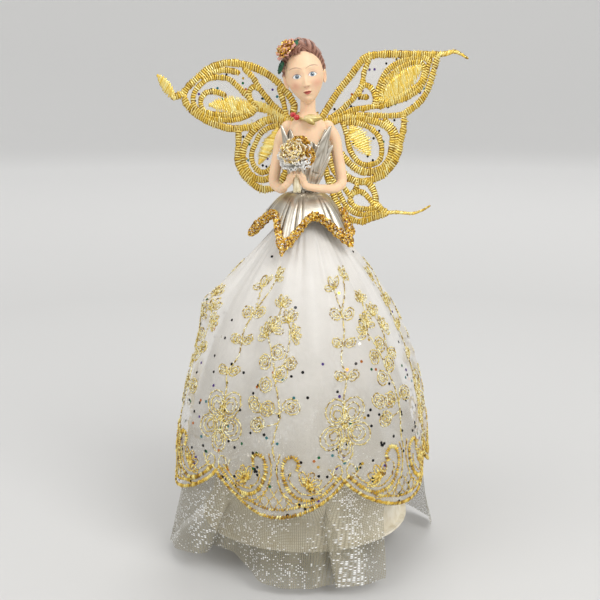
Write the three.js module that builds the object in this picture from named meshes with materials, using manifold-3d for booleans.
// Angel tree topper: a cast figure on a card cone, dressed in two gathered skirts,
// with embroidered fabric wings that bend on the wires at their roots.
// Millimetres, +Z up. The figure faces -Y. The origin is the centre of the cone's mouth.
import * as THREE from "three";
import { mergeVertices } from "three/addons/utils/BufferGeometryUtils.js";
import Module from "manifold-3d";

// Clearances and shared sizes
const seatGap = 0.3; // glue line or running gap between a piece and its seat
const clothThickness = 0.8;
const weldDistance = 1e-4;

// Cone that slips over the tree's leading shoot
const coneHeight = 150;
const coneRimRadius = 48;
const coneTopRadius = 6;
const coneWall = 1;
const coneFlangeWidth = 2;
const coneFlangeThickness = 1.2;
const coneSides = 40;

// Skirts, gathered round the top of the cone
const skirtTopDrop = 2; // gathered edge below the cone's top
const gatherHeight = 3; // straight gathered neck under the waistband
const skirtRadius = 60; // overskirt at its foot
const skirtFootZ = 20; // height where the bell reaches that radius
const bellFullness = 2.4;
const skirtLayerGap = 2.4; // between the two cloths, middle to middle
const skirtSlack = 3.5; // how much further the underskirt hangs inside at half height
const skirtSamples = 60;
const overskirtRows = 6;
const underskirtRows = 3;
// Main folds of the overskirt: turn from the front in degrees, outward depth at the foot
const overskirtFolds = [
  { turn: -68, out: 4 },
  { turn: -36, out: -2.5 },
  { turn: -10, out: 2 },
  { turn: 22, out: -2 },
  { turn: 48, out: 2.5 },
  { turn: 76, out: -2.5 },
  { turn: 104, out: 2 },
  { turn: 150, out: -2 },
  { turn: 182, out: 2.5 },
  { turn: 222, out: -2 },
  { turn: 258, out: -2 },
];
// Pleats that run down from the gathers, and the puff at the figure's right hip
const pleatCount = 13;
const pleatDepth = 1;
const pleatDrift = 1.1; // unevenness of their spacing, radians
const hipPuff = { turn: -88, z: 104, out: 7.5, width: 24, height: 13 };
const scallopCount = 6;
const scallopTopZ = 36;
const scallopDepth = 15;
const scallopTurn = -13; // degrees from the front to the middle of the front scallop
const scallopRoundness = 0.8;
const underskirtHemZ = -12;
const underskirtFlare = 4;
// Main folds of the underskirt's hem: turn from the front in degrees, outward depth, rise of the hem
const underskirtFolds = [
  { turn: -92, out: 3, rise: -3 },
  { turn: -40, out: -4, rise: 9 },
  { turn: 24, out: 4, rise: -2 },
  { turn: 108, out: 3, rise: -2 },
  { turn: 140, out: -4, rise: 4 },
  { turn: 178, out: 4, rise: 0 },
  { turn: 224, out: -4, rise: 4 },
];
const foldWidth = 17; // degrees
// Opening at the figure's left front, where the hem is drawn up under the overskirt; degrees
const hemOpening = { turn: 65, halfAngle: 30, ease: 14 };
const hemShow = 1.5; // least that the underskirt shows below the overskirt
const waistbandWall = 0.8;

// Figure: heights are above its seat on the cone's top
const figureLean = 1.2; // sideways shift of the shoulders
const pegLength = 8;
const waistHeight = 7;
const waistHalfWidth = 4.2;
const waistHalfDepth = 3.8;
const ribHeight = 15.5;
const ribHalfWidth = 7;
const ribHalfDepth = 5.6;
const bustHeight = 26;
const bustHalfWidth = 10;
const bustHalfDepth = 7.6;
const shoulderHeight = 37;
const shoulderHalfWidth = 9.6;
const shoulderHalfDepth = 5.8;
const shoulderSlope = 5; // rise from the shoulders to the neck's foot
const neckLength = 8;
const neckRadius = 3.6;
const bodySamples = 32;

// Bodice: a cup of leaves round the chest
const bodiceWall = 0.9;
const bodiceFloorHeight = 24.5;
const bodiceNeckHeight = 28;
const bodiceLeaves = 8;
const bodiceLeafRise = 2.4;
const bustTipTurn = 52; // degrees each side of the front
const bustTipRise = 5;
const bustTipWidth = 16; // degrees

// Peplum: a collar of drooping leaves
const peplumRise = 6; // top edge above the figure's seat
const peplumDrop = 26;
const peplumRadius = 25;
const peplumWall = 1.2;
const peplumTurn = -22; // degrees from the front to the first leaf tip
const peplumLeafLengths = [1, 0.94, 0.95, 0.95, 0.88]; // from the first leaf on, towards +X
const peplumValley = 0.5; // share of the longest leaf where two leaves part
const peplumCurl = 0.8;
const peplumSamples = 60;
const peplumRows = 4;
const trimRadius = 1.35;
const trimInset = 0.94;
const trimSides = 5;

// Head, hair and what is worn on them
const headHalfWidth = 9;
const headHalfDepth = 9.8;
const headHalfHeight = 13.2;
const headRise = 9.6; // middle of the head above the neck's top
const headTilt = 10; // degrees, top leaning to the figure's right
const headForward = 2;
const hairThickness = 1.5;
const bunRadius = 5.2;
const headSamples = 20;
const headRows = 14;
const hairFlowerRadius = 4.2;
const hairFlowerWay = [-0.56, -0.42, 0.72]; // from the head's middle
const hairLeafLength = 7;
const hairLeafWidth = 4;
const leafThickness = 1.2;
// Garland leaves: direction from the head's middle, and spin in degrees
const hairLeaves = {
  upper: { way: [-0.2, -0.42, 0.9], spin: -80 },
  lower: { way: [-0.9, -0.3, 0.32], spin: 170 },
};
const necklaceRadius = 0.7;
const necklaceDrop = 2.2;
const berryRadius = 1.3;
const pendantTurn = 6; // degrees from the front
const berryTurns = { lower: -38, upper: -68 };
const pendantLength = 5.4;
const pendantWidth = 3;

// Arms and bouquet
const upperArmRadius = 2.7;
const elbowRadius = 2.6;
const wristRadius = 1.7;
const fingerRadius = 0.75;
const elbowHeight = 11.5;
const elbowOut = 6.2; // elbow beyond the shoulder
const wristHeight = 8.4;
const wristForward = 8.5;
const handOut = 4.4; // heel of the hand beside, behind and below the grasp
const handBack = 1.6;
const handDrop = 3.2;
const palmOut = 2.4; // palm beside and above the grasp
const palmRise = 0.7;
const fingerPitch = 1.15;
const armSides = 8;
const armSteps = 12;
const stemRadius = 1.5;
const stemLength = 15;
const frontRoseRadius = 7.2;
const sideRoseRadius = 5.3;
const topRoseRadius = 4.7;
const frillRadius = 7;
const frillHeight = 4;
const frillWall = 0.8;
const roseSamples = 15;

// Wings: each lobe is a teardrop from the root; angles in degrees above the horizontal
const wingSweep = 24; // degrees the wings lean back at rest
const wingHingeOffset = 4; // hinge line each side of the spine
const wingRootDrop = 1.4; // root below the shoulder
const wingRootRadius = 1.2;
const wingRootLength = 14;
const padThickness = 3;
const padHeight = 16;
const padWidth = 9;
const panelThickness = 0.5;
const cordThickness = 0.9;
const cordWidth = 1.7;
const lobeSteps = 8;
const leftWing = {
  side: 1,
  upper: { angle: 26, length: 73, width: 28, bend: 0, root: 1, tip: 0.6 },
  middle: { angle: -23, length: 49, width: 35, bend: 0, root: 0.7, tip: 0.42 },
  lower: { angle: -54, length: 54, width: 19, bend: 3, root: 0.85, tip: 0.6 },
  tips: [
    { on: "upper", angle: 0, length: 19, width: 3.4 },
    { on: "lower", angle: 3, length: 28, width: 2 },
  ],
};
const rightWing = {
  side: -1,
  upper: { angle: 20, length: 65, width: 33, bend: -8, root: 0.5, tip: 0.5 },
  middle: { angle: -37, length: 40, width: 33, bend: 0, root: 0.7, tip: 0.42 },
  lower: { angle: -60, length: 41, width: 13, bend: 0, root: 0.85, tip: 0.6 },
  tips: [
    { on: "upper", angle: 36, length: 18, width: 4 },
    { on: "lower", angle: 96, length: 18, width: 2 },
  ],
};
const loopShares = [1, 0.72]; // nested cord loops, as shares of the lobe
const satinFrom = 0.4; // filled leaf inside each lobe, as shares of its length
const satinTo = 0.84;
const satinWidth = 0.34;

// Places worked out from the sizes above
const seatZ = coneHeight + seatGap; // the figure's foot
const neckBaseHeight = shoulderHeight + shoulderSlope;
const neckTopHeight = neckBaseHeight + neckLength;
const skirtTopZ = coneHeight - skirtTopDrop;
const gatherZ = skirtTopZ - gatherHeight;
const bodiceOffset = seatGap + bodiceWall; // bodice outside the body's own surface
const rad = THREE.MathUtils.degToRad;
const { lerp, clamp, smoothstep } = THREE.MathUtils;
const fullTurn = 2 * Math.PI;

const wasm = await Module();
wasm.setup();

// Shape helpers

// A point at a turn from the front (-Y), counted towards +X, on an ellipse.
const onEllipse = (turn, halfWidth, halfDepth, z, shift = 0) =>
  new THREE.Vector3(shift + halfWidth * Math.sin(turn), -halfDepth * Math.cos(turn), z);

const ringOf = (count, pointAt, start = 0) =>
  Array.from({ length: count }, (_, i) => pointAt(start + (fullTurn * i) / count));

const bump = (distance, width) => Math.exp(-((distance / width) ** 2));

// The smallest turn between two directions, in radians.
const turnBetween = (a, b) => Math.abs(Math.atan2(Math.sin(a - b), Math.cos(a - b)));

function signedVolume(points, faces) {
  let sum = 0;
  for (let i = 0; i < faces.length; i += 3) {
    const [a, b, c] = [points[faces[i]], points[faces[i + 1]], points[faces[i + 2]]];
    sum += a.dot(new THREE.Vector3().crossVectors(b, c));
  }
  return sum / 6;
}

// Skins a stack of rings of equal count. An open stack is closed by an end face at each end,
// and a looped one joins its last ring to its first.
function loft(rings, looped = false) {
  const count = rings[0].length;
  const points = rings.flat();
  const faces = [];
  const spans = looped ? rings.length : rings.length - 1;
  for (let i = 0; i < spans; i++) {
    const low = i * count;
    const high = ((i + 1) % rings.length) * count;
    for (let j = 0; j < count; j++) {
      const next = (j + 1) % count;
      faces.push(low + j, low + next, high + next, low + j, high + next, high + j);
    }
  }
  if (!looped) {
    for (const [ring, first, flip] of [
      [rings[0], 0, true],
      [rings.at(-1), (rings.length - 1) * count, false],
    ]) {
      const centre = new THREE.Vector3();
      ring.forEach((p) => centre.addScaledVector(p, 1 / count));
      const hub = points.push(centre) - 1;
      for (let j = 0; j < count; j++) {
        const edge = [first + j, first + ((j + 1) % count)];
        faces.push(hub, ...(flip ? edge.reverse() : edge));
      }
    }
  }
  if (signedVolume(points, faces) < 0) faces.reverse();
  return new THREE.BufferGeometry().setFromPoints(points).setIndex(faces);
}

// Boolean helpers on closed geometries
function solid(geometry) {
  const bare = new THREE.BufferGeometry();
  bare.setAttribute("position", geometry.getAttribute("position"));
  bare.setIndex(geometry.index);
  const merged = mergeVertices(bare, weldDistance);
  const mesh = new wasm.Mesh({
    numProp: 3,
    vertProperties: merged.attributes.position.array,
    triVerts: new Uint32Array(merged.index.array),
  });
  return new wasm.Manifold(mesh);
}

function geometryOf(manifold) {
  const mesh = manifold.getMesh();
  const geometry = new THREE.BufferGeometry();
  geometry.setAttribute("position", new THREE.BufferAttribute(mesh.vertProperties, 3));
  return geometry.setIndex(new THREE.BufferAttribute(mesh.triVerts, 1));
}

const join = (geometries) => geometryOf(geometries.map(solid).reduce((a, b) => a.add(b)));
const cut = (geometry, tools) =>
  geometryOf(tools.map(solid).reduce((a, b) => a.subtract(b), solid(geometry)));

// A tapered round limb along points, with a radius at each point.
function limb(points, radii, sides, steps, grow = 0) {
  const curve = new THREE.CatmullRomCurve3(points);
  const frames = curve.computeFrenetFrames(steps);
  const rings = [];
  for (let i = 0; i <= steps; i++) {
    const share = (i / steps) * (points.length - 1);
    const from = Math.min(Math.floor(share), points.length - 2);
    const radius = lerp(radii[from], radii[from + 1], share - from) + grow;
    const centre = curve.getPoint(i / steps);
    if (i === 0) centre.addScaledVector(frames.tangents[0], -grow);
    if (i === steps) centre.addScaledVector(frames.tangents[steps], grow);
    const across = frames.normals[i];
    const over = frames.binormals[i];
    rings.push(
      ringOf(sides, (turn) =>
        centre
          .clone()
          .addScaledVector(across, radius * Math.cos(turn))
          .addScaledVector(over, radius * Math.sin(turn)),
      ),
    );
  }
  return loft(rings);
}

// A ball drawn out to three half-sizes.
function ellipsoid(centre, halfSizes, samples = 10, rows = 6) {
  const ball = new THREE.SphereGeometry(1, samples, rows);
  return ball.scale(halfSizes.x, halfSizes.y, halfSizes.z).translate(centre.x, centre.y, centre.z);
}

// Moves a geometry made along +Z so that +Z points along `facing` from `origin`.
function aim(geometry, origin, facing) {
  const turn = new THREE.Quaternion().setFromUnitVectors(
    new THREE.Vector3(0, 0, 1),
    facing.clone().normalize(),
  );
  return geometry.applyQuaternion(turn).translate(origin.x, origin.y, origin.z);
}

// A revolved wall about +Z from (radius, height) corners.
const revolved = (corners, sides) =>
  loft(
    corners.map(([radius, z]) => ringOf(sides, (turn) => onEllipse(turn, radius, radius, z))),
    true,
  );

// Tree cone
const coneOuterAt = (z) => lerp(coneRimRadius, coneTopRadius, z / coneHeight);

const makeTreeCone = () =>
  revolved(
    [
      [coneRimRadius + coneFlangeWidth, 0],
      [coneRimRadius + coneFlangeWidth, coneFlangeThickness],
      [coneOuterAt(coneFlangeThickness), coneFlangeThickness],
      [coneTopRadius, coneHeight],
      [coneTopRadius - coneWall, coneHeight],
      [coneRimRadius - coneWall, 0],
    ],
    coneSides,
  );

// Skirts
const layerAtGather = clothThickness + seatGap;
const underGatherRadius = coneOuterAt(gatherZ) + seatGap + clothThickness / 2;
const overGatherRadius = underGatherRadius + layerAtGather;

const bellShare = (z) => clamp((gatherZ - z) / (gatherZ - skirtFootZ), 0, 1);
const bellRadius = (z) =>
  lerp(overGatherRadius, skirtRadius, 1 - (1 - bellShare(z)) ** bellFullness);
const scallopHem = (turn) =>
  scallopTopZ -
  scallopDepth *
    Math.abs(Math.cos((scallopCount / 2) * (turn - rad(scallopTurn)))) ** scallopRoundness;

// Adds up one property of a cloth's folds at a turn.
const foldSum = (folds, turn, property) =>
  folds.reduce(
    (sum, fold) => sum + fold[property] * bump(turnBetween(turn, rad(fold.turn)), rad(foldWidth)),
    0,
  );
const foldedRadius = (turn, z) =>
  bellRadius(z) + bellShare(z) * foldSum(overskirtFolds, turn, "out");

// Pleats are deepest below the waist and fade towards the hem.
function pleatAt(turn, z) {
  const share = bellShare(z);
  const depth = smoothstep(share, 0.03, 0.2) * (1 - 0.65 * smoothstep(share, 0.35, 0.9));
  return pleatDepth * depth * Math.sin(pleatCount * turn + pleatDrift * Math.sin(3 * turn));
}
const puffAt = (turn, z) =>
  hipPuff.out *
  bump(turnBetween(turn, rad(hipPuff.turn)), rad(hipPuff.width)) *
  bump(z - hipPuff.z, hipPuff.height);
const overskirtRadiusAt = (turn, z) => foldedRadius(turn, z) + pleatAt(turn, z) + puffAt(turn, z);

// The hem with its folds, drawn up to just below the overskirt's edge in the opening.
function underskirtHem(turn) {
  const { halfAngle, ease } = hemOpening;
  const away = turnBetween(turn, rad(hemOpening.turn));
  const open = 1 - smoothstep(away, rad(halfAngle - ease / 2), rad(halfAngle + ease / 2));
  const hem = underskirtHemZ + foldSum(underskirtFolds, turn, "rise");
  return lerp(hem, scallopHem(turn) - hemShow, open);
}

function underskirtRadiusAt(turn, z) {
  const share = bellShare(z);
  const slack = skirtSlack * Math.sin(Math.PI * share);
  const layer = lerp(layerAtGather, skirtLayerGap, smoothstep(share, 0, 0.15)) + slack;
  const below = clamp((scallopHem(turn) - z) / (scallopHem(turn) - underskirtHemZ), 0, 1.2);
  const drape = underskirtFlare + foldSum(underskirtFolds, turn, "out");
  return foldedRadius(turn, z) - layer + drape * below ** 1.3;
}

// Heights of the cloth's rows at a turn, from the gathered edge to the overskirt's hem.
const overskirtHeights = (turn) => [
  skirtTopZ,
  ...Array.from({ length: overskirtRows }, (_, i) =>
    lerp(gatherZ, scallopHem(turn), (i / (overskirtRows - 1)) ** 1.25),
  ),
];
const underskirtHeights = (turn) => [
  ...overskirtHeights(turn),
  ...Array.from({ length: underskirtRows }, (_, i) =>
    lerp(scallopHem(turn), underskirtHem(turn), (i + 1) / underskirtRows),
  ),
];

// Cloth of even thickness: up the outer face, then down the inner one.
function makeSkirt(heightsAt, radiusAt) {
  const rows = heightsAt(0).length;
  const face = (offset) =>
    Array.from({ length: rows }, (_, row) =>
      ringOf(
        skirtSamples,
        (turn) => {
          const z = heightsAt(turn)[row];
          const radius = radiusAt(turn, z) + offset;
          return onEllipse(turn, radius, radius, z);
        },
        rad(scallopTurn),
      ),
    );
  return loft([...face(clothThickness / 2).reverse(), ...face(-clothThickness / 2)], true);
}

function makeWaistband() {
  const inner = overGatherRadius + clothThickness / 2 + seatGap;
  const outer = inner + waistbandWall;
  const low = gatherZ + seatGap;
  const high = skirtTopZ;
  return revolved(
    [
      [outer, low],
      [outer, high],
      [inner, high],
      [inner, low],
    ],
    coneSides,
  );
}

// Body: half width and half depth of the cast figure at a height, from the named stations
const bodyStations = [
  { z: 0, width: coneTopRadius - bodiceOffset, depth: coneTopRadius - bodiceOffset },
  { z: waistHeight, width: waistHalfWidth, depth: waistHalfDepth },
  { z: ribHeight, width: ribHalfWidth, depth: ribHalfDepth },
  { z: bustHeight, width: bustHalfWidth, depth: bustHalfDepth },
  { z: shoulderHeight, width: shoulderHalfWidth, depth: shoulderHalfDepth },
  { z: neckBaseHeight, width: neckRadius, depth: neckRadius },
  { z: neckTopHeight, width: neckRadius, depth: neckRadius },
];
const leanAt = (height) => figureLean * smoothstep(height, waistHeight, shoulderHeight);

function bodyAt(height) {
  const last = bodyStations.length - 2;
  const found = bodyStations.findIndex((s, i) => i > last || height < bodyStations[i + 1].z);
  const low = bodyStations[Math.min(Math.max(found, 0), last)];
  const high = bodyStations[bodyStations.indexOf(low) + 1];
  const share = smoothstep(height, low.z, high.z);
  return {
    width: lerp(low.width, high.width, share),
    depth: lerp(low.depth, high.depth, share),
  };
}

// A point of the figure's surface, moved out by an offset.
function onBody(turn, height, offset = 0) {
  const { width, depth } = bodyAt(height);
  return onEllipse(turn, width + offset, depth + offset, seatZ + height, leanAt(height));
}
const bodyRing = (height, offset) => ringOf(bodySamples, (turn) => onBody(turn, height, offset));

function makeTorso(grow = 0) {
  const bottom = bodiceFloorHeight + seatGap - grow;
  const chest = [0, 0.25, 0.5, 0.75].map((share) => lerp(bottom, shoulderHeight, share));
  const slope = [0, 0.25, 0.5, 0.75, 1].map((share) => lerp(shoulderHeight, neckBaseHeight, share));
  const heights = [...chest, ...slope, neckTopHeight + grow];
  return loft(heights.map((height) => bodyRing(height, grow)));
}

// Height of the bodice's leafy top edge at a turn.
function bodiceEdge(turn) {
  const leaf = Math.abs(Math.cos((bodiceLeaves / 2) * turn));
  const tips = [bustTipTurn, -bustTipTurn].map((tip) =>
    bump(turnBetween(turn, rad(tip)), rad(bustTipWidth)),
  );
  return bodiceNeckHeight + bodiceLeafRise * leaf + bustTipRise * (tips[0] + tips[1]);
}

function makeBodice(grow = 0) {
  const pegRadius = coneTopRadius - coneWall - seatGap;
  const wallRing = (share, offset) =>
    ringOf(bodySamples, (turn) =>
      onBody(turn, lerp(bodiceFloorHeight, bodiceEdge(turn) + grow, share), offset),
    );
  const pegRing = (height) =>
    ringOf(bodySamples, (turn) => onEllipse(turn, pegRadius, pegRadius, seatZ + height));
  const outer = bodiceOffset + grow;
  const corsetHeights = [
    waistHeight,
    lerp(waistHeight, ribHeight, 0.5),
    ribHeight,
    lerp(ribHeight, bodiceFloorHeight, 0.5),
    bodiceFloorHeight,
  ];
  return loft([
    pegRing(-pegLength),
    pegRing(0),
    bodyRing(0, outer),
    ...corsetHeights.map((height) => bodyRing(height, outer)),
    ...[0.35, 0.7, 1].map((share) => wallRing(share, outer)),
    ...[1, 0.7, 0.35, 0].map((share) => wallRing(share, seatGap - grow)),
  ]);
}

// Peplum
const peplumTopRadius = bodyAt(peplumRise).width + bodiceOffset + seatGap + peplumWall / 2;

const peplumLeaves = peplumLeafLengths.length;

// Share of the longest leaf that the edge reaches at a turn.
function peplumEdge(turn) {
  const place = ((turn - rad(peplumTurn)) / fullTurn) * peplumLeaves; // whole numbers are the tips
  const leaf = THREE.MathUtils.euclideanModulo(Math.round(place), peplumLeaves);
  return lerp(peplumLeafLengths[leaf], peplumValley, Math.abs(Math.sin(Math.PI * place)) ** 1.1);
}

// A point of the peplum's middle surface at a share of the leaf length, moved out along its normal.
function onPeplum(turn, share, offset) {
  const profile = (s) => ({
    radius: lerp(peplumTopRadius, peplumRadius, s ** 0.8),
    z: seatZ + peplumRise - peplumDrop * s ** 1.4,
  });
  const step = 0.01;
  const low = profile(Math.max(share - step, 0));
  const high = profile(share + step);
  const run = high.radius - low.radius;
  const fall = low.z - high.z;
  const length = Math.hypot(run, fall);
  const out = offset + peplumCurl * share * Math.cos(peplumLeaves * (turn - rad(peplumTurn)));
  const { radius, z } = profile(share);
  const reach = radius + (out * fall) / length;
  return onEllipse(turn, reach, reach, z + (out * run) / length);
}

function makePeplum() {
  const face = (offset) =>
    Array.from({ length: peplumRows + 1 }, (_, row) =>
      ringOf(
        peplumSamples,
        (turn) => onPeplum(turn, (peplumEdge(turn) * row) / peplumRows, offset),
        rad(peplumTurn),
      ),
    );
  return loft([...face(peplumWall / 2).reverse(), ...face(-peplumWall / 2)], true);
}

// A bead of trim that follows the leaf edges all the way round.
function makePeplumTrim() {
  const lift = peplumWall / 2 + seatGap + trimRadius;
  const place = (turn, offset) => onPeplum(turn, peplumEdge(turn) * trimInset, offset);
  const sections = ringOf(
    peplumSamples,
    (turn) => {
      const step = fullTurn / peplumSamples;
      const centre = place(turn, lift);
      const along = place(turn + step, lift).sub(place(turn - step, lift)).normalize();
      const over = centre.clone().sub(place(turn, 0)).normalize();
      const across = new THREE.Vector3().crossVectors(along, over).normalize();
      return ringOf(trimSides, (spin) =>
        centre
          .clone()
          .addScaledVector(over, trimRadius * Math.cos(spin))
          .addScaledVector(across, trimRadius * Math.sin(spin)),
      );
    },
    rad(peplumTurn),
  );
  return loft(sections, true);
}

// Head, in its own frame: the middle of the skull is the origin and the face looks along -Y
const headGroupPlace = new THREE.Matrix4()
  .makeTranslation(figureLean, -headForward, seatZ + neckTopHeight + headRise)
  .multiply(new THREE.Matrix4().makeRotationY(-rad(headTilt)));
const intoHead = (geometry) => geometry.applyMatrix4(headGroupPlace.clone().invert());

// Moulds a unit direction into the head's surface, moved out by an offset.
function mouldHead(direction, offset) {
  const { x, y, z } = direction;
  const jaw = Math.max(0, -z);
  const front = Math.max(0, -y);
  const place = new THREE.Vector3(
    headHalfWidth * x * (1 - 0.34 * jaw ** 1.8),
    headHalfDepth * y * (1 - 0.18 * jaw ** 2) - 1.8 * jaw ** 2,
    headHalfHeight * z,
  );
  const nose = 1.5 * bump(x, 0.13) * bump(z + 0.28, 0.16);
  const brow = 0.4 * bump(z - 0.16, 0.14);
  const sockets = -0.8 * (bump(x - 0.38, 0.2) + bump(x + 0.38, 0.2)) * bump(z + 0.02, 0.14);
  const lips = 0.5 * bump(x, 0.22) * bump(z + 0.6, 0.08);
  const chin = 0.5 * bump(x, 0.25) * bump(z + 0.86, 0.14);
  place.y -= (nose + brow + sockets + lips + chin) * front;
  return place.addScaledVector(direction, offset);
}

function headShell(offset) {
  const rings = Array.from({ length: headRows - 1 }, (_, row) => {
    const rise = Math.PI * ((row + 1) / headRows - 0.5);
    return ringOf(headSamples, (turn) =>
      mouldHead(onEllipse(turn, Math.cos(rise), Math.cos(rise), Math.sin(rise)), offset),
    );
  });
  return loft(rings);
}

const earAt = (side) => new THREE.Vector3(side * headHalfWidth, 0.6, -1.2);
const makeEar = (side, offset) =>
  ellipsoid(earAt(side), new THREE.Vector3(1.3 + offset, 1.9 + offset, 2.9 + offset));

const makeHead = () =>
  cut(join([headShell(0), makeEar(1, 0), makeEar(-1, 0)]), [intoHead(makeTorso(seatGap))]);

// Hair swept up from the face into a bun.
function makeHair() {
  const bun = ellipsoid(
    new THREE.Vector3(0, headHalfDepth + hairThickness, 0.42 * headHalfHeight),
    new THREE.Vector3(bunRadius, bunRadius, bunRadius),
  );
  const face = ellipsoid(
    new THREE.Vector3(0, -headHalfDepth, -0.22 * headHalfHeight),
    new THREE.Vector3(headHalfWidth, headHalfDepth, 0.92 * headHalfHeight),
    16,
    12,
  );
  const nape = new THREE.BoxGeometry(60, 60, 60).translate(0, 0, -30 - 0.5 * headHalfHeight);
  return cut(join([headShell(hairThickness), bun]), [
    headShell(seatGap),
    makeEar(1, seatGap),
    makeEar(-1, seatGap),
    face,
    nape,
  ]);
}

// A many-petalled flower along +Z: ruffled tiers that step in towards the middle.
function rose(radius, grow = 0) {
  const tiers = [
    [0.3, -0.1, 0],
    [0.92, 0.3, 0.1],
    [1, 0.5, 0.1],
    [0.7, 0.5, 0],
    [0.76, 0.78, 0.12],
    [0.48, 0.76, 0],
    [0.5, 0.96, 0.12],
    [0.22, 1, 0],
  ];
  const petals = 5;
  return loft(
    tiers.map(([reach, rise, ruffle], tier) =>
      ringOf(roseSamples, (turn) => {
        const wave = 1 + ruffle * Math.cos(petals * turn + tier);
        const out = reach * radius * wave + grow;
        const lift = tier === 0 ? -grow : tier === tiers.length - 1 ? grow : 0;
        return onEllipse(turn, out, out, rise * radius + lift);
      }),
    ),
  );
}

// A pointed leaf in the XY plane, growing along +Y, with a raised midrib.
function leaf(length, width, thickness) {
  const steps = 8;
  const rings = Array.from({ length: steps - 1 }, (_, i) => {
    const share = (i + 1) / steps;
    const half = (width / 2) * Math.sin(Math.PI * share ** 0.8);
    const deep = (thickness / 2) * Math.sin(Math.PI * share) ** 0.5;
    return [
      new THREE.Vector3(half, length * share, -deep / 2),
      new THREE.Vector3(0, length * share, deep),
      new THREE.Vector3(-half, length * share, -deep / 2),
      new THREE.Vector3(0, length * share, -deep),
    ];
  });
  return loft(rings);
}

// Where something worn on the head sits on the hair, in the head's frame.
function onHair(x, y, z) {
  const direction = new THREE.Vector3(x, y, z).normalize();
  return { direction, place: mouldHead(direction, hairThickness + seatGap) };
}

function makeHairFlower() {
  const { direction, place } = onHair(...hairFlowerWay);
  return cut(aim(rose(hairFlowerRadius), place, direction), [headShell(hairThickness + seatGap)]);
}

// A garland leaf lying on the hair beside the flower, spun about its own middle.
function makeHairLeaf({ way, spin }) {
  const { direction, place } = onHair(...way);
  const flat = leaf(hairLeafLength, hairLeafWidth, leafThickness)
    .translate(0, -hairLeafLength / 2, leafThickness)
    .rotateZ(rad(spin));
  const flower = onHair(...hairFlowerWay);
  return cut(aim(flat, place, direction), [
    headShell(hairThickness + seatGap),
    aim(rose(hairFlowerRadius, seatGap), flower.place, flower.direction),
  ]);
}

// Necklace: a band round the foot of the neck that dips at the front
const necklaceHeight = (turn) => neckBaseHeight - necklaceDrop * Math.max(0, Math.cos(turn)) ** 2;
const onNecklace = (turn, offset) => onBody(turn, necklaceHeight(turn), offset);
const necklaceOffset = 2 * seatGap + necklaceRadius;

function makeNecklace() {
  const sides = 6;
  const sections = ringOf(bodySamples, (turn) => {
    const centre = onNecklace(turn, necklaceOffset);
    const out = new THREE.Vector3(Math.sin(turn), -Math.cos(turn), 0);
    return ringOf(sides, (spin) =>
      centre
        .clone()
        .addScaledVector(out, necklaceRadius * Math.cos(spin))
        .add(new THREE.Vector3(0, 0, necklaceRadius * Math.sin(spin))),
    );
  });
  return loft(sections, true);
}

const onNecklaceFront = (turn, radius) =>
  onNecklace(rad(turn), necklaceOffset + necklaceRadius + seatGap + radius);
const makeBerry = (turn) =>
  ellipsoid(onNecklaceFront(turn, berryRadius), new THREE.Vector3(1, 1, 1).multiplyScalar(berryRadius));

function makePendant(turn) {
  const half = leafThickness;
  return leaf(pendantLength, pendantWidth, 2 * half)
    .translate(0, -pendantLength / 2, 0)
    .rotateZ(rad(90))
    .rotateX(rad(90))
    .rotateZ(rad(turn))
    .translate(...onNecklaceFront(turn, half).toArray());
}

// Bouquet: roses over a frill on a bound stem, held in front of the waist
const stemFoot = new THREE.Vector3(figureLean - 5, -(bustHalfDepth + 8.5), seatZ + 7);
const stemTop = stemFoot.clone().add(new THREE.Vector3(-0.6, -0.8, stemLength));
const makeStem = (grow = 0) =>
  limb([stemFoot, stemTop], [stemRadius * 0.8, stemRadius], armSides, 2, grow);

const stemAxis = stemTop.clone().sub(stemFoot).normalize();
const frillPlace = stemTop.clone().addScaledVector(stemAxis, -frillHeight / 2);
function makeFrill(grow = 0) {
  const petals = 7;
  const wall = (offset) =>
    [0, 0.5, 1].map((share) =>
      ringOf(3 * petals, (turn) => {
        const ruffle = 1 + 0.12 * share * Math.cos(petals * turn);
        const reach = lerp(stemRadius + seatGap + frillWall / 2, frillRadius, share) * ruffle + offset;
        return onEllipse(turn, reach, reach, frillHeight * share ** 1.5);
      }),
    );
  const half = frillWall / 2 + grow;
  return aim(loft([...wall(half), ...wall(-half).reverse()], true), frillPlace, stemAxis);
}

const bouquetTop = stemTop.clone().addScaledVector(stemAxis, seatGap);
const rosePlaces = {
  front: {
    radius: frontRoseRadius,
    at: bouquetTop.clone().add(new THREE.Vector3(-0.7, -1.8, 3)),
    facing: new THREE.Vector3(-0.25, -0.85, 0.5),
  },
  side: {
    radius: sideRoseRadius,
    at: bouquetTop.clone().add(new THREE.Vector3(4.6, 0.4, 2)),
    facing: new THREE.Vector3(0.9, -0.55, 0.25),
  },
  top: {
    radius: topRoseRadius,
    at: bouquetTop.clone().add(new THREE.Vector3(2.2, 2, 7)),
    facing: new THREE.Vector3(0.35, -0.3, 1),
  },
};
const placedRose = ({ radius, at, facing }, grow = 0) => aim(rose(radius, grow), at, facing);

const makeFrontRose = () => cut(placedRose(rosePlaces.front), [makeFrill(seatGap), makeStem(seatGap)]);
const makeSideRose = () =>
  cut(placedRose(rosePlaces.side), [
    placedRose(rosePlaces.front, seatGap),
    makeFrill(seatGap),
    makeStem(seatGap),
  ]);
const makeTopRose = () =>
  cut(placedRose(rosePlaces.top), [
    placedRose(rosePlaces.front, seatGap),
    placedRose(rosePlaces.side, seatGap),
    makeStem(seatGap),
  ]);

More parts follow.
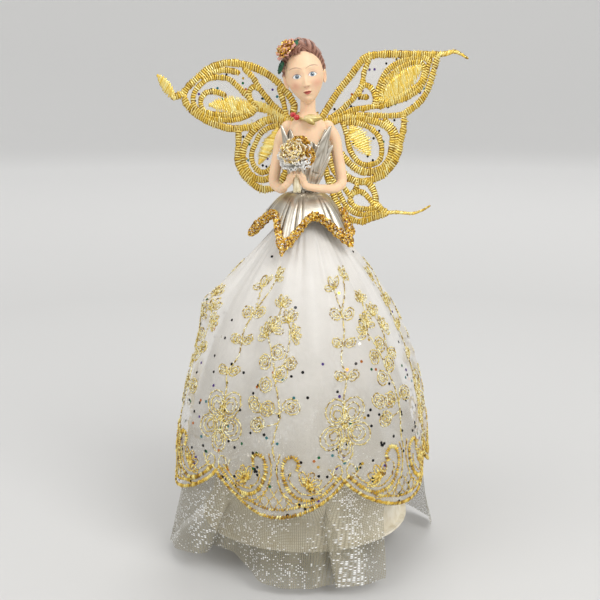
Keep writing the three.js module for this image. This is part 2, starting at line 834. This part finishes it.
// Arms: shoulder, elbow, wrist, then a hand that closes on the stem
const grasp = stemFoot.clone().lerp(stemTop, 0.42);
function armPath(side) {
  const out = (distance) => figureLean + side * (shoulderHalfWidth + distance);
  const upperHeight = (shoulderHeight + elbowHeight) / 2;
  return [
    new THREE.Vector3(out(0), 0.5, seatZ + shoulderHeight - 0.8),
    new THREE.Vector3(out(0.64 * elbowOut), 1, seatZ + upperHeight),
    new THREE.Vector3(out(elbowOut), -0.5, seatZ + elbowHeight),
    new THREE.Vector3(out(side > 0 ? 0 : 0.4 * elbowOut), -wristForward, seatZ + wristHeight),
    grasp.clone().add(new THREE.Vector3(side * handOut, handBack, -handDrop)),
    grasp.clone().add(new THREE.Vector3(side * palmOut, -0.5 * palmRise, palmRise)),
  ];
}
const armRadii = [
  upperArmRadius,
  upperArmRadius,
  elbowRadius,
  (elbowRadius + wristRadius) / 2,
  wristRadius,
  wristRadius * 1.15,
];

// Four fingers laid side by side up the stem, on the side the hand comes from.
function makeFingers(side, grow) {
  return [0, 1, 2, 3].map((finger) => {
    const spread = (finger - 1.5) * fingerPitch;
    const start = grasp.clone().add(new THREE.Vector3(side * palmOut, 0.25 * spread, spread));
    const knuckle = grasp.clone().add(new THREE.Vector3(side * 2.3, -2.1, 2 + spread));
    const end = grasp.clone().add(new THREE.Vector3(side * 0.5, -2.9, 3 + spread));
    return limb([start, knuckle, end], [1, fingerRadius, 0.7 * fingerRadius], 6, 4, grow);
  });
}

const armAlone = (side, grow = 0) =>
  join([limb(armPath(side), armRadii, armSides, armSteps, grow), ...makeFingers(side, grow)]);
const armTools = () => [
  makeTorso(seatGap),
  makeBodice(seatGap),
  makeStem(seatGap),
  makeFrill(seatGap),
  placedRose(rosePlaces.front, seatGap),
  placedRose(rosePlaces.side, seatGap),
];
const makeLeftArm = () => cut(armAlone(1), armTools());
const makeRightArm = () => cut(armAlone(-1), [...armTools(), armAlone(1, seatGap)]);

// Wing pad: glued to the back, with the two root wires laid along its edges
const padFrontY = bodyAt(shoulderHeight - 4).depth;
const padRearY = padFrontY + padThickness;
const wingRootZ = seatZ + shoulderHeight - wingRootDrop;
const hingeY = padRearY + seatGap + wingRootRadius;

function makeWingPad() {
  const block = new THREE.BoxGeometry(padWidth, padThickness + padFrontY, padHeight).translate(
    leanAt(shoulderHeight),
    (padFrontY + padThickness) / 2,
    wingRootZ - padHeight / 2 + 4,
  );
  return cut(block, [makeTorso(seatGap), makeBodice(seatGap)]);
}

// Wings, drawn flat in the XY plane: x outwards from the hinge, y up, front face towards +Z
function lobeOutline({ angle, length, width, bend = 0, root = 0.85, tip = 0.6 }, start = 0) {
  const peak = root / (root + tip);
  const most = peak ** root * (1 - peak) ** tip;
  const half = (share) => ((width / 2) * share ** root * (1 - share) ** tip) / most;
  const at = (share, side) => {
    const along = start + (length - start) * share;
    const across = side * half(share) + bend * share ** 2;
    return new THREE.Vector2(along, across).rotateAround(new THREE.Vector2(), rad(angle));
  };
  const shares = Array.from(
    { length: lobeSteps + 1 },
    (_, i) => (1 - Math.cos((Math.PI * i) / lobeSteps)) / 2,
  );
  const lower = shares.map((share) => at(share, -1));
  const upper = shares.slice(1, -1).map((share) => at(share, 1));
  return [...lower, ...upper.reverse()];
}

function plate(outline, side, low, thickness) {
  const shape = new THREE.Shape(outline.map((p) => new THREE.Vector2(side * p.x, p.y)));
  return new THREE.ExtrudeGeometry(shape, { depth: thickness, bevelEnabled: false }).translate(
    0,
    0,
    low,
  );
}

// The tip of a lobe in wing coordinates.
const lobeTip = ({ angle, length, bend = 0 }) =>
  new THREE.Vector2(length, bend).rotateAround(new THREE.Vector2(), rad(angle));

// A narrow wired tail that runs on from a lobe's tip.
function tailOutline(wing, { on, angle, length, width }) {
  const tip = lobeTip(wing[on]);
  const overlap = 5 * cordWidth;
  const back = new THREE.Vector2(overlap, 0).rotateAround(new THREE.Vector2(), rad(wing[on].angle));
  return lobeOutline({ angle, length: length + overlap, width, tip: 0.9 }).map((p) =>
    p.add(tip).sub(back),
  );
}

const lobesOf = (wing) => [wing.upper, wing.middle, wing.lower];
const rootBar = (grow) =>
  limb(
    [new THREE.Vector3(0, -wingRootLength / 2, 0), new THREE.Vector3(0, wingRootLength / 2, 0)],
    [wingRootRadius, wingRootRadius],
    armSides,
    2,
    grow,
  );

// What is taken off a wing at its root: room for the wire, and all that lies inside the hinge line.
function rootRoom(wing) {
  const reach = wing.upper.length;
  const inside = new THREE.BoxGeometry(reach, 2 * reach, reach).translate((-wing.side * reach) / 2, 0, 0);
  return [rootBar(seatGap), inside];
}

function makeWingPanel(wing) {
  const low = -panelThickness / 2;
  const outlines = [
    ...lobesOf(wing).map((lobe) => lobeOutline(lobe)),
    ...wing.tips.map((tip) => tailOutline(wing, tip)),
  ];
  const plates = outlines.map((outline) => plate(outline, wing.side, low, panelThickness));
  return cut(join(plates), rootRoom(wing));
}

// One cord loop: a lobe with the same lobe, smaller by the cord's width, taken out of it.
function cordLoop(lobe, share, side, low) {
  const outer = { ...lobe, length: lobe.length * share, width: lobe.width * share, bend: lobe.bend * share };
  const inner = {
    ...outer,
    length: outer.length - cordWidth,
    width: outer.width - 2 * cordWidth,
  };
  const hole = plate(lobeOutline(inner, 4 * cordWidth), side, low - 1, cordThickness + 2);
  return cut(plate(lobeOutline(outer), side, low, cordThickness), [hole]);
}

// The stitched leaf in the middle of a lobe, with a stem back to the root.
function satinLeaf(lobe, side, low) {
  const middle = { ...lobe, length: lobe.length * satinTo, width: lobe.width * satinWidth };
  const stem = { ...lobe, length: lobe.length * (satinFrom + satinTo) / 2, width: cordWidth };
  return [
    plate(lobeOutline(middle, lobe.length * satinFrom), side, low, cordThickness),
    plate(lobeOutline({ ...stem, bend: lobe.bend * 0.3 }), side, low, cordThickness),
  ];
}

function makeWingEmbroidery(wing) {
  const low = panelThickness / 2 + seatGap;
  const cords = lobesOf(wing).flatMap((lobe) => [
    ...loopShares.map((share) => cordLoop(lobe, share, wing.side, low)),
    ...satinLeaf(lobe, wing.side, low),
  ]);
  const tails = wing.tips.map((tip) => plate(tailOutline(wing, tip), wing.side, low, cordThickness));
  return cut(join([...cords, ...tails]), rootRoom(wing));
}

// Materials
const finish = (color, roughness, metalness = 0) =>
  new THREE.MeshStandardMaterial({ color, roughness, metalness });
const finishes = {
  card: finish(0xe9e2d3, 0.8),
  lurex: finish(0xcfcabb, 0.4, 0.3),
  organza: finish(0xf0ece4, 0.5),
  ribbon: finish(0xe8e3d8, 0.7),
  silver: finish(0xb9b3a6, 0.35, 0.6),
  glitter: finish(0xc8952a, 0.4, 0.6),
  skin: finish(0xf0c9a6, 0.55),
  hair: finish(0x7d5443, 0.6),
  rosePink: finish(0xd99478, 0.6),
  leafGreen: finish(0x1d4a38, 0.5),
  gold: finish(0xd0b25a, 0.4, 0.5),
  berryRed: finish(0xc0182a, 0.3),
  stem: finish(0xe6d6ac, 0.6),
  petalSilver: finish(0xd9d5cb, 0.35, 0.4),
  thread: finish(0xd6a531, 0.4, 0.5),
  wire: finish(0xa8842f, 0.4, 0.7),
};

// Assembly
const topper = new THREE.Group();
function add(parent, name, geometry, material) {
  const mesh = new THREE.Mesh(geometry, material);
  mesh.name = name;
  parent.add(mesh);
}

add(topper, "tree_cone", makeTreeCone(), finishes.card);
add(topper, "underskirt", makeSkirt(underskirtHeights, underskirtRadiusAt), finishes.lurex);
add(topper, "overskirt", makeSkirt(overskirtHeights, overskirtRadiusAt), finishes.organza);
add(topper, "waistband", makeWaistband(), finishes.ribbon);
add(topper, "bodice", makeBodice(), finishes.silver);
add(topper, "peplum", makePeplum(), finishes.silver);
add(topper, "peplum_trim", makePeplumTrim(), finishes.glitter);
add(topper, "torso", makeTorso(), finishes.skin);
add(topper, "left_arm", makeLeftArm(), finishes.skin);
add(topper, "right_arm", makeRightArm(), finishes.skin);
add(topper, "necklace_band", makeNecklace(), finishes.gold);
add(topper, "necklace_pendant", makePendant(pendantTurn), finishes.gold);
add(topper, "necklace_berry_lower", makeBerry(berryTurns.lower), finishes.berryRed);
add(topper, "necklace_berry_upper", makeBerry(berryTurns.upper), finishes.berryRed);
add(topper, "bouquet_stem", makeStem(), finishes.stem);
add(topper, "bouquet_frill", makeFrill(), finishes.petalSilver);
add(topper, "bouquet_front_rose", makeFrontRose(), finishes.glitter);
add(topper, "bouquet_side_rose", makeSideRose(), finishes.glitter);
add(topper, "bouquet_top_rose", makeTopRose(), finishes.glitter);
add(topper, "wing_pad", makeWingPad(), finishes.ribbon);

const head = new THREE.Group();
headGroupPlace.decompose(head.position, head.quaternion, head.scale);
topper.add(head);
add(head, "head", makeHead(), finishes.skin);
add(head, "hair", makeHair(), finishes.hair);
add(head, "hair_flower", makeHairFlower(), finishes.rosePink);
add(head, "hair_leaf_upper", makeHairLeaf(hairLeaves.upper), finishes.leafGreen);
add(head, "hair_leaf_lower", makeHairLeaf(hairLeaves.lower), finishes.leafGreen);

for (const [name, wing] of [
  ["left_wing", leftWing],
  ["right_wing", rightWing],
]) {
  const group = new THREE.Group();
  group.position.set(leanAt(shoulderHeight) + wing.side * wingHingeOffset, hingeY, wingRootZ);
  group.rotation.set(rad(90), 0, rad(wing.side * wingSweep), "ZYX");
  topper.add(group);
  add(group, name + "_panel", makeWingPanel(wing), finishes.organza);
  add(group, name + "_embroidery", makeWingEmbroidery(wing), finishes.thread);
  add(group, name + "_root_wire", rootBar(0), finishes.wire);
}

export default topper;
